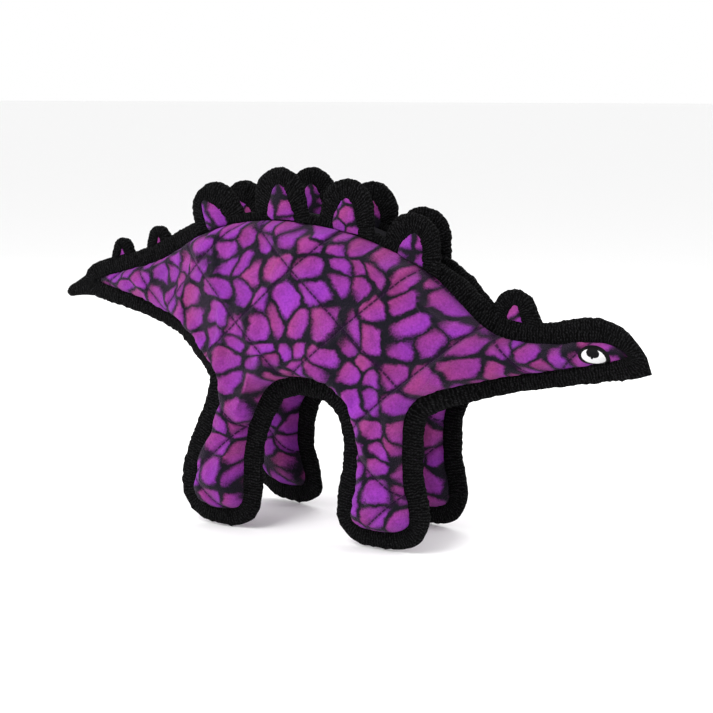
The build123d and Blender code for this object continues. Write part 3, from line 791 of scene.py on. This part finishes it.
def make_fleece(name, quilted=True):
    """Printed fleece: short mottled nap over the printed scales, with sewn lines and painted shade in the
    grooves where it is quilted.
    """
    n = Nodes(name)
    rest = n.attribute("rest")
    color, xyz = scale_print(n, rest)
    nap = n.noise(rest, 2.2, 4.0, 0.65)
    grain = n.noise(rest, 5.5, 2.0, 0.7)
    patchy = n.ramp(n.noise(rest, 0.12, 2.0, 0.5), 0.3, 0.7, False)
    mottle = n.ramp(n.noise(rest, 0.75, 4.0, 0.75), 0.28, 0.72, False)
    light = n.plus(0.66, n.weighted(mottle, 0.66, patchy, 0.18))
    grey = n.add("ShaderNodeCombineXYZ")
    for socket in grey.inputs:
        n.link(light, socket)
    color = n.mix(1.0, color, grey.outputs[0], blend_type="MULTIPLY")
    height = n.plus(n.times(nap, 0.55), n.weighted(mottle, 1.1, grain, 0.35))
    normal = n.bump(height, 0.0007 * UNIT / 0.001, 0.7)
    if quilted:
        d, stitches = quilt_groove(n, xyz.outputs[0], xyz.outputs[2])
        # Painted shade: the colour darkens along the quilting grooves, where the fabric dips.
        painted_groove_shade = n.minus(1.0, n.ramp(d, 0.2, 2.4))
        color = n.mix(n.times(painted_groove_shade, 0.42), color, (0.022, 0.003, 0.03, 1))
        color = n.mix(n.times(stitches, 0.8), color, (0.010, 0.002, 0.016, 1))
        groove = n.minus(n.ramp(d, 0.0, 3.0), n.times(stitches, 0.25))
        normal = n.bump(groove, 0.0014 * UNIT / 0.001, 0.9, normal)
    return n.finish(color, 0.95, normal, sheen=0.10, sheen_tint=(0.95, 0.6, 1.0, 1), specular=0.08)


def make_dark_fleece(name):
    """Unprinted, near black fleece."""
    n = Nodes(name)
    rest = n.attribute("rest")
    nap = n.noise(rest, 2.2, 4.0, 0.65)
    tuft = n.noise(rest, 0.6, 3.0, 0.6)
    color = n.mix(nap, (0.002, 0.002, 0.003, 1), (0.009, 0.0085, 0.012, 1))
    normal = n.bump(n.plus(nap, tuft), 0.0006, 0.6)
    return n.finish(color, 0.95, normal, sheen=0.04, specular=0.08)


def make_webbing(name):
    """Ribbed knit tape: ribs run across it, with a knitted surface and a few loose fibres; its colour carries
    painted shade in the troughs and painted highlight on the ribs.
    """
    n = Nodes(name)
    tape = n.attribute("tape")
    rest = n.attribute("rest")
    xyz = n.add("ShaderNodeSeparateXYZ")
    n.link(tape, xyz.inputs[0])
    wander = n.times(n.minus(n.noise(rest, 0.45, 2.0), 0.5), 3.2)
    s = n.plus(xyz.outputs[0], wander)
    rib = n.wave(n.times(s, 2 * math.pi / RIB_SPACING))
    knot = n.wave(n.weighted(xyz.outputs[1], 2 * math.pi / KNOT_SPACING, s, 3.6))
    fuzz = n.ramp(n.noise(rest, 0.85, 4.0, 0.75), 0.3, 0.72, False)
    grain = n.noise(rest, 4.0, 2.0, 0.7)
    height = n.weighted(rib, 0.5, n.times(knot, rib), 0.5)
    height = n.plus(height, n.weighted(fuzz, 1.15, grain, 0.3))
    # The colour follows the relief: painted shade in the troughs between the ribs and knots, painted
    # highlight on their crests, and paler loose fibres from the fuzz.
    shade = n.ramp(height, 0.75, 2.15, True)
    color = n.mix(shade, (0.0002, 0.0002, 0.0003, 1), (0.0240, 0.0240, 0.0255, 1))
    normal = n.bump(height, 0.0010, 1.0)
    return n.finish(color, 0.9, normal, sheen=0.0, specular=0.06)


def make_plain(name, color, roughness, scale, bump=0.0, sheen=0.0):
    """A plain material with a fine grain, for CAD nodes that have no texture attributes."""
    n = Nodes(name)
    rest = n.add("ShaderNodeTexCoord").outputs["Object"]
    grain = n.noise(rest, scale * 1000, 3.0, 0.6)
    darker = tuple(0.75 * c for c in color) + (1,)
    shade = n.mix(grain, darker, tuple(color) + (1,))
    normal = n.bump(grain, bump, 0.6) if bump else None
    return n.finish(shade, roughness, normal, sheen=sheen)


def make_embroidery(name, color, angle, specular):
    """Satin stitch: close parallel threads with a slight gloss, and painted shade between the threads."""
    n = Nodes(name)
    rest = n.attribute("rest")
    a = math.radians(angle)
    across = n.vector("DOT_PRODUCT", rest, (math.cos(a), 0.0, math.sin(a)))
    wave = n.wave(n.weighted(across, 2 * math.pi / THREAD_SPACING, n.noise(rest, 1.2), 3.0))
    # Painted shade: the colour darkens between the threads, in the troughs of the stitch relief.
    darker = tuple(0.72 * c for c in color) + (1,)
    shade = n.mix(wave, darker, tuple(color) + (1,))
    return n.finish(shade, 0.6, n.bump(wave, 0.00018, 0.7), specular=specular)


FLEECE = make_fleece("printed_fleece")
PLATE_FLEECE = make_fleece("printed_plate_fleece", quilted=False)
DARK_FLEECE = make_dark_fleece("dark_fleece")
WEBBING = make_webbing("webbing")
WHITE_THREAD = make_embroidery("white_thread", (0.80, 0.80, 0.80), 80, 0.3)
BLACK_THREAD = make_embroidery("black_thread", (0.0012, 0.0012, 0.0014), 15, 0.12)

# ---- side panels and their webbing
panel_points, panel_faces, panel_rim = puffed_panel(smooth_loop(SEAM, MESH_STEP), True, SIDE_PADDING)
panel_points = draped(panel_points, panel_faces, panel_rim)
fine_points, fine_faces = subdivided(panel_points, panel_faces)
tape_points, tape_faces, tape_coords = webbing_mesh(smooth_loop(SEAM, TAPE_STEP), TAPE_HALF, True)


def leg_nodes(side, kinds):
    """CAD nodes of the two legs on a side, by zone."""
    return {f"{end}_leg": [f"{end}_{side}_leg_{k}" for k in kinds] for end in ("front", "rear")}


def rest_of(points, side):
    """Where a point's texture is looked up; the two sides are printed differently."""
    shift = 0.0 if side == "right" else 731.0
    return points + np.array([shift, 0, shift * 0.3])


TOE_IN = 9  # degrees


def relaxed(points, side):
    """The left legs stand a little askew of the right ones, as soft legs do: they toe in and lean back."""
    points = np.array(points, float)
    if side == "right":
        return points
    x, z = points[:, 0].copy(), points[:, 2]
    low = np.clip((98 - z) / 34, 0, 1)
    low = low * low * (3 - 2 * low)
    front = low * np.clip((x - 4) / 16, 0, 1)
    rear = low * np.clip((-3 - x) / 16, 0, 1)
    turn = math.sin(math.radians(TOE_IN))
    points[:, 0] += rear * np.interp(z, [0, 10, 22, 38, 60], [4.5, 4.0, 0.0, -5.0, -6.5]) - 6.5 * front
    points[:, 1] -= front * (3.5 + turn * (x - 50)) + rear * turn * (x + 48)
    return points


surface = {}
for side, sign in SIDES.items():
    world, faces = oriented(relaxed(fine_points, side), fine_faces, sign)
    nodes = {"torso": [f"{side}_side_panel"]}
    nodes.update({zone: [f"{side}_{zone}_panel"] for zone in ("tail", "neck", "head")})
    if side == "right":
        for zone, own in nodes.items():
            own.append(f"{zone}_stuffing")
    nodes.update(leg_nodes(side, ("outer_panel", "stuffing")))
    looks = {"rest": rest_of(fine_points, side)}
    split_by_zone(f"{side}_panel", world, faces, looks, FLEECE, nodes)
    surface[side] = BVHTree.FromPolygons([tuple(v) for v in world], faces)

    world, faces = oriented(relaxed(tape_points, side), tape_faces, sign)
    faces = turned_over(faces)
    nodes = {"torso": [f"{side}_torso_binding"]}
    if side == "right":
        nodes.update({zone: [f"{zone}_binding"] for zone in ("tail", "neck", "head")})
    nodes.update(leg_nodes(side, ("binding",)))
    looks = {"rest": rest_of(tape_points, side), "tape": tape_coords}
    split_by_zone(f"{side}_webbing", world, faces, looks, WEBBING, nodes)

# ---- inner leg panels
INNER_LEG_PRINT = np.array([311.0, 0, 90.0])  # moves the print, so that it doesn't repeat the outside


def leg_loop(end):
    """A leg's seam, closed across its top, with y turned to be positive inwards."""
    low_x, high_x = LEG_SPANS[end]
    run = [p[:3] for p in SEAM if low_x <= p[0] <= high_x and p[2] < LEG_TOP]
    points = [(x, -y, z) for x, y, z in run + INNER_LEG_TOPS[end]]
    return smooth_loop(points, MESH_STEP)


for end in INNER_LEG_TOPS:
    points, faces, _ = puffed_panel(leg_loop(end), True, INNER_LEG_PADDING)
    points, faces = subdivided(points, faces)
    points = points * np.array([1, -1, 1])
    for side, sign in SIDES.items():
        world, turned = oriented(relaxed(points, side), turned_over(faces), sign)
        looks = {"rest": rest_of(points, side) + INNER_LEG_PRINT}
        cad = [f"{end}_{side}_leg_inner_panel"]
        obj = smooth_piece(f"{end}_{side}_inner_leg", world, turned, looks, FLEECE, cad)
        follow(obj, f"{end}_leg")


# ---- gussets
def gusset(name, rows, crown, material, up):
    """A crowned strip between the two side panels through rows of (x, half width, z)."""
    rows = np.array(rows, float)
    xs = np.arange(rows[0, 0], rows[-1, 0], MESH_STEP)
    curve = smooth_loop(rows, MESH_STEP, closed=False)
    half = np.interp(xs, curve[:, 0], curve[:, 1])
    height = np.interp(xs, curve[:, 0], curve[:, 2])
    vs = np.linspace(-1, 1, 25)
    points = []
    for x, h, z in zip(xs, half, height):
        bow = crown * h * (1 - vs**2) * (1 if up else -1)
        points.append(np.stack([np.full(len(vs), x), vs * h, z + bow], axis=1))
    points = np.vstack(points)
    m = len(vs)
    faces = []
    for i in range(len(xs) - 1):
        for k in range(m - 1):
            f = (i * m + k, (i + 1) * m + k, (i + 1) * m + k + 1, i * m + k + 1)
            faces.append(f if up else tuple(reversed(f)))
    points, faces = subdivided(points, faces)
    looks = {"rest": points}
    split_by_zone(name, to_frame(points), faces, looks, material, {"torso": [name]}, legs=False)


top_rows = [(p[0], p[1] + 0.3, p[2]) for p in SEAM if p[2] > 122 and -130 < p[0] < 115]
back_rows = [row for row in top_rows if row[2] > 127 or row[0] > 90]
gusset("back_gusset", back_rows, 0.16, DARK_FLEECE, True)
gusset("belly_gusset", BELLY, 0.1, FLEECE, False)


# ---- plates
def arch(x, z, slope, lean, half_base, height, radius=None):
    """An arch on a sloping base, as evenly spaced (x, z) points: a tongue, or a dome of the given radius."""
    along = np.array([math.cos(math.radians(slope)), math.sin(math.radians(slope))])
    up = np.array([math.sin(math.radians(lean)), math.cos(math.radians(lean))])
    base = np.array([x, z])
    if radius is None:
        left = [(-1.0, 0.0), (-0.78, 0.3), (-0.56, 0.62), (-0.36, 0.86), (-0.16, 0.98)]
        shape = left + [(0.0, 1.0)] + [(-a, b) for a, b in reversed(left)]
        points = [base + along * half_base * a + up * height * b for a, b in shape]
    else:
        middle = base + up * (height - radius)
        side = np.array([up[1], -up[0]])
        points = [base - along * half_base]
        for degrees in range(175, 0, -10):
            a = math.radians(degrees)
            points.append(middle + radius * (side * math.cos(a) + up * math.sin(a)))
        points.append(base + along * half_base)
    points = np.array(points)
    padded = np.column_stack([points[:, 0], np.zeros(len(points)), points[:, 1]])
    dense = smooth_loop(padded, 0.4, closed=False)[:, [0, 2]]
    s = run_length(dense)
    at = np.linspace(0, s[-1], ARCH_POINTS)
    return np.column_stack([np.interp(at, s, dense[:, 0]), np.interp(at, s, dense[:, 1])])


PLATE_PRINT_SCALE, PLATE_PRINT = 1.15, np.array([57.0, 0, 23.0])
PLATE_TUCK = 0.12  # how far the fleece reaches under the webbing
PLATE_PROUD = 0.62  # where the fleece's edge is, as a share of the webbing's half thickness


def build_plate(name, side, row, fleece_z, half, body, nodes):
    """One plate: a thin fleece pillow and the webbing folded round its edge.

    nodes are the CAD nodes of the fleece and of the webbing, or None."""
    x0, y0, z0, slope, lean, half_base, radius, height, fleece_lean, fleece_base, fleece_height = row
    sign = SIDES[side]
    mirror = np.array([1, sign, 1])
    dome = arch(x0, z0 - 1.0, slope, lean, half_base, height + 1.0, radius)
    window = arch(x0, fleece_z - 0.5, slope, fleece_lean, fleece_base, fleece_height + 0.5)
    path = np.column_stack([window[:, 0], np.full(ARCH_POINTS, y0), window[:, 1], np.zeros(ARCH_POINTS)])
    verts, faces, tape = webbing_mesh(path, half, False, dome)
    if sign == RIGHT:
        faces = turned_over(faces)
    ribs = np.array([TAPE_SHIFT * len(bpy.data.objects), 0, 0])
    looks = {"tape": tape + ribs, "rest": rest_of(verts, side)}
    cad = [node for node in nodes[1:] if node]
    webbing = smooth_piece(f"{name}_webbing", to_frame(verts * mirror), faces, looks, WEBBING, cad)

    loop = path[:, :3].copy()
    loop[:, [0, 2]] += PLATE_TUCK * (dome - window)
    pts, tri, _ = puffed_panel(loop[::2], False, PLATE_PADDING, step=PLATE_STEP)
    proud = half * PLATE_PROUD
    front = pts + np.array([0, proud, 0])
    behind = pts * np.array([1, -1, 1]) + np.array([0, 2 * y0 - proud, 0])
    both = np.vstack([front, behind])
    faces = [tuple(f) for f in tri] + [tuple(i + len(pts) for i in reversed(f)) for f in tri]
    if sign == LEFT:
        faces = turned_over(faces)
    looks = {"rest": rest_of(both, side) * PLATE_PRINT_SCALE + PLATE_PRINT}
    cad = [node for node in nodes[:1] if node]
    fleece = smooth_piece(f"{name}_fleece", to_frame(both * mirror), faces, looks, PLATE_FLEECE, cad)

    for obj in (webbing, fleece):
        if body in BENDS:
            follow(obj, body)
        else:
            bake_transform(obj)


for side in SIDES:
    for number, (row, (shift_x, shift_z)) in enumerate(zip(BACK_PLATES, LEFT_PLATE_SHIFTS), start=1):
        plate = f"{side}_plate_{number}"
        if side == "left":
            row = (row[0] + shift_x, row[1], row[2] + shift_z, *row[3:])
        build_plate(plate, side, row, row[2], PLATE_TAPE_HALF, plate, (plate, f"{plate}_binding"))
for name, (zone, row, fleece_z, node) in SMALL_PLATES.items():
    build_plate(name, "right", row, fleece_z, TAPE_HALF, zone, (node, None))


# ---- tail end
def tail_end():
    """The folded end of the webbing at the tip of the tail."""
    spine = [(x, tall, z, wide) for x, z, tall, wide in TAIL_END]
    dense = smooth_loop(spine, 1.0, closed=False)
    verts, faces, tape = [], [], []
    count = 28
    for x, tall, z, wide in dense:
        for k in range(count):
            a = 2 * math.pi * k / count
            c, s = math.cos(a), math.sin(a)
            verts.append((x, wide * np.sign(c) * abs(c) ** 0.7, z + tall * np.sign(s) * abs(s) ** 0.8))
            tape.append((-x, k * 1.1, 0))
    for i in range(len(dense) - 1):
        for k in range(count):
            j = (k + 1) % count
            faces.append((i * count + k, i * count + j, (i + 1) * count + j, (i + 1) * count + k))
    faces.append(tuple(range(count - 1, -1, -1)))
    faces.append(tuple((len(dense) - 1) * count + k for k in range(count)))
    looks = {"tape": tape, "rest": verts}
    obj = smooth_piece("tail_end_webbing", to_frame(verts), faces, looks, WEBBING)
    follow(obj, "tail")


tail_end()


# ---- eyes
def on_head(side, x, z, lift):
    """The point on a side of the head at (x, z), lifted off the fleece."""
    sign = SIDES[side]
    start = Vector(to_frame([[x, sign * 60, z]])[0])
    hit, normal, _, _ = surface[side].ray_cast(start, Vector((0, -sign, 0)))
    if hit is None:
        hit, normal = Vector(to_frame([[x, sign * 6, z]])[0]), Vector((0, sign, 0))
    if normal.y * sign < 0:
        normal = -normal
    return hit + normal * lift * UNIT


def stitched_patch(name, side, centre, size, lift, crown, material, nodes):
    """An embroidered oval that lies on the head."""
    rings, count = 7, 40
    a = math.radians(EYE_TILT)
    verts, rest = [], []
    for i in range(rings + 1):
        r = i / rings
        rise = lift + crown * math.sqrt(max(0.0, 1 - r * r))
        for k in range(count):
            t = 2 * math.pi * k / count
            px, pz = r * size[0] * math.cos(t), r * size[1] * math.sin(t)
            x = centre[0] + px * math.cos(a) - pz * math.sin(a)
            z = centre[1] + px * math.sin(a) + pz * math.cos(a)
            verts.append(on_head(side, x, z, rise))
            rest.append((x, 0, z))
    faces = []
    for i in range(rings):
        for k in range(count):
            j = (k + 1) % count
            faces.append((i * count + k, (i + 1) * count + k, (i + 1) * count + j, i * count + j))
    if side == "left":
        faces = turned_over(faces)
    obj = smooth_piece(name, verts, faces, {"rest": rest}, material, nodes)
    follow(obj, "head")


EYE_TILT = -6
eye_low, eye_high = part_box("eye_rims")
EYE_X = ((eye_low.x + eye_high.x) / 2 - CENTRE_X) / UNIT - 2.4
EYE_Z = ((eye_low.z + eye_high.z) / 2 - GROUND_Z) / UNIT - 0.8
# Patches of an eye: offset from its centre, half length and half height, lift, crown, thread and CAD node.
EYE_PATCHES = {
    "rim": ((0, 0), (8.9, 5.45), 0.15, 0.45, BLACK_THREAD, ["eye_rims"]),
    "white": ((0, -0.1), (6.7, 3.7), 0.5, 0.35, WHITE_THREAD, ["eye_whites"]),
    "pupil": ((-0.1, 1.6), (3.7, 2.35), 0.8, 0.4, BLACK_THREAD, ["eye_pupils"]),
    "lobe": ((-0.7, -0.8), (0.6, 0.65), 0.8, 0.3, BLACK_THREAD, []),
}
for side in SIDES:
    for part, ((dx, dz), size, lift, crown, thread, nodes) in EYE_PATCHES.items():
        centre = (EYE_X + dx, EYE_Z + dz)
        cad = nodes if side == "right" else []
        stitched_patch(f"{side}_eye_{part}", side, centre, size, lift, crown, thread, cad)

# ---- shown CAD nodes inside the toy
INSIDE = {
    "squeaker_bulb": make_plain("bulb_rubber", (0.62, 0.62, 0.58), 0.5, 0.4),
    "squeaker_reed": make_plain("reed_plastic", (0.75, 0.75, 0.72), 0.4, 0.4),
    "squeaker_pouch": make_plain("pouch_cloth", (0.55, 0.55, 0.55), 0.9, 1.5, bump=0.0003, sheen=0.1),
}
for node, material in INSIDE.items():
    mesh = frame["nodes"][node].data
    mesh.materials.clear()
    mesh.materials.append(material)

# ---- floor, light and camera
FLOOR_HALF = 30000
FLOOR_Z = -0.9  # just under the soles' webbing
corners = [(x * FLOOR_HALF, y * FLOOR_HALF, FLOOR_Z) for x, y in ((-1, -1), (1, -1), (1, 1), (-1, 1))]
floor_mesh = make_mesh("floor", to_frame(corners), [(0, 1, 2, 3)])
floor_mesh.materials.append(Nodes("floor").finish((0.93, 0.93, 0.93, 1), 0.9, specular=0.1))
new_object("floor", floor_mesh)

world = bpy.data.worlds.new("studio")
bpy.context.scene.world = world
world.use_nodes = True
background = world.node_tree.nodes["Background"]
background.inputs["Color"].default_value = (1.0, 1.0, 1.0, 1)
background.inputs["Strength"].default_value = 1.0


def area_light(name, place, size, power):
    """A soft square light aimed at the toy."""
    data = bpy.data.lights.new(name, "AREA")
    data.size = size * UNIT
    data.energy = power * (UNIT / 0.001) ** 2
    obj = bpy.data.objects.new(name, data)
    bpy.context.scene.collection.objects.link(obj)
    obj.location = to_frame([place])[0]
    target = Vector(to_frame([(0, 0, 110)])[0])
    obj.rotation_mode = "QUATERNION"
    obj.rotation_quaternion = (target - obj.location).to_track_quat("-Z", "Y")


area_light("key", (-150, -900, 950), 600, 9)
area_light("left_fill", (-900, -600, 500), 800, 3)
area_light("right_rim", (900, 300, 600), 700, 5)
area_light("back_rim", (-300, 900, 800), 700, 5)

CAMERA_AZIMUTH, CAMERA_ELEVATION, CAMERA_DISTANCE = 30, 9, 1000
CAMERA_TARGET = (17, 0, 103.6)
camera_data = bpy.data.cameras.new("camera")
camera_data.sensor_width = 36.0
camera_data.lens = 85.1
camera = bpy.data.objects.new("camera", camera_data)
bpy.context.scene.collection.objects.link(camera)
azimuth, elevation = math.radians(CAMERA_AZIMUTH), math.radians(CAMERA_ELEVATION)
level = math.cos(elevation)
back = Vector((math.sin(azimuth) * level, -math.cos(azimuth) * level, math.sin(elevation)))
camera.location = Vector(to_frame(CAMERA_TARGET)) + back * CAMERA_DISTANCE * UNIT
camera.rotation_mode = "QUATERNION"
camera.rotation_quaternion = (-back).to_track_quat("-Z", "Y")
camera_data.clip_start = 0.01
camera_data.clip_end = 50
bpy.context.scene.camera = camera
bpy.context.scene.view_settings.view_transform = "Standard"
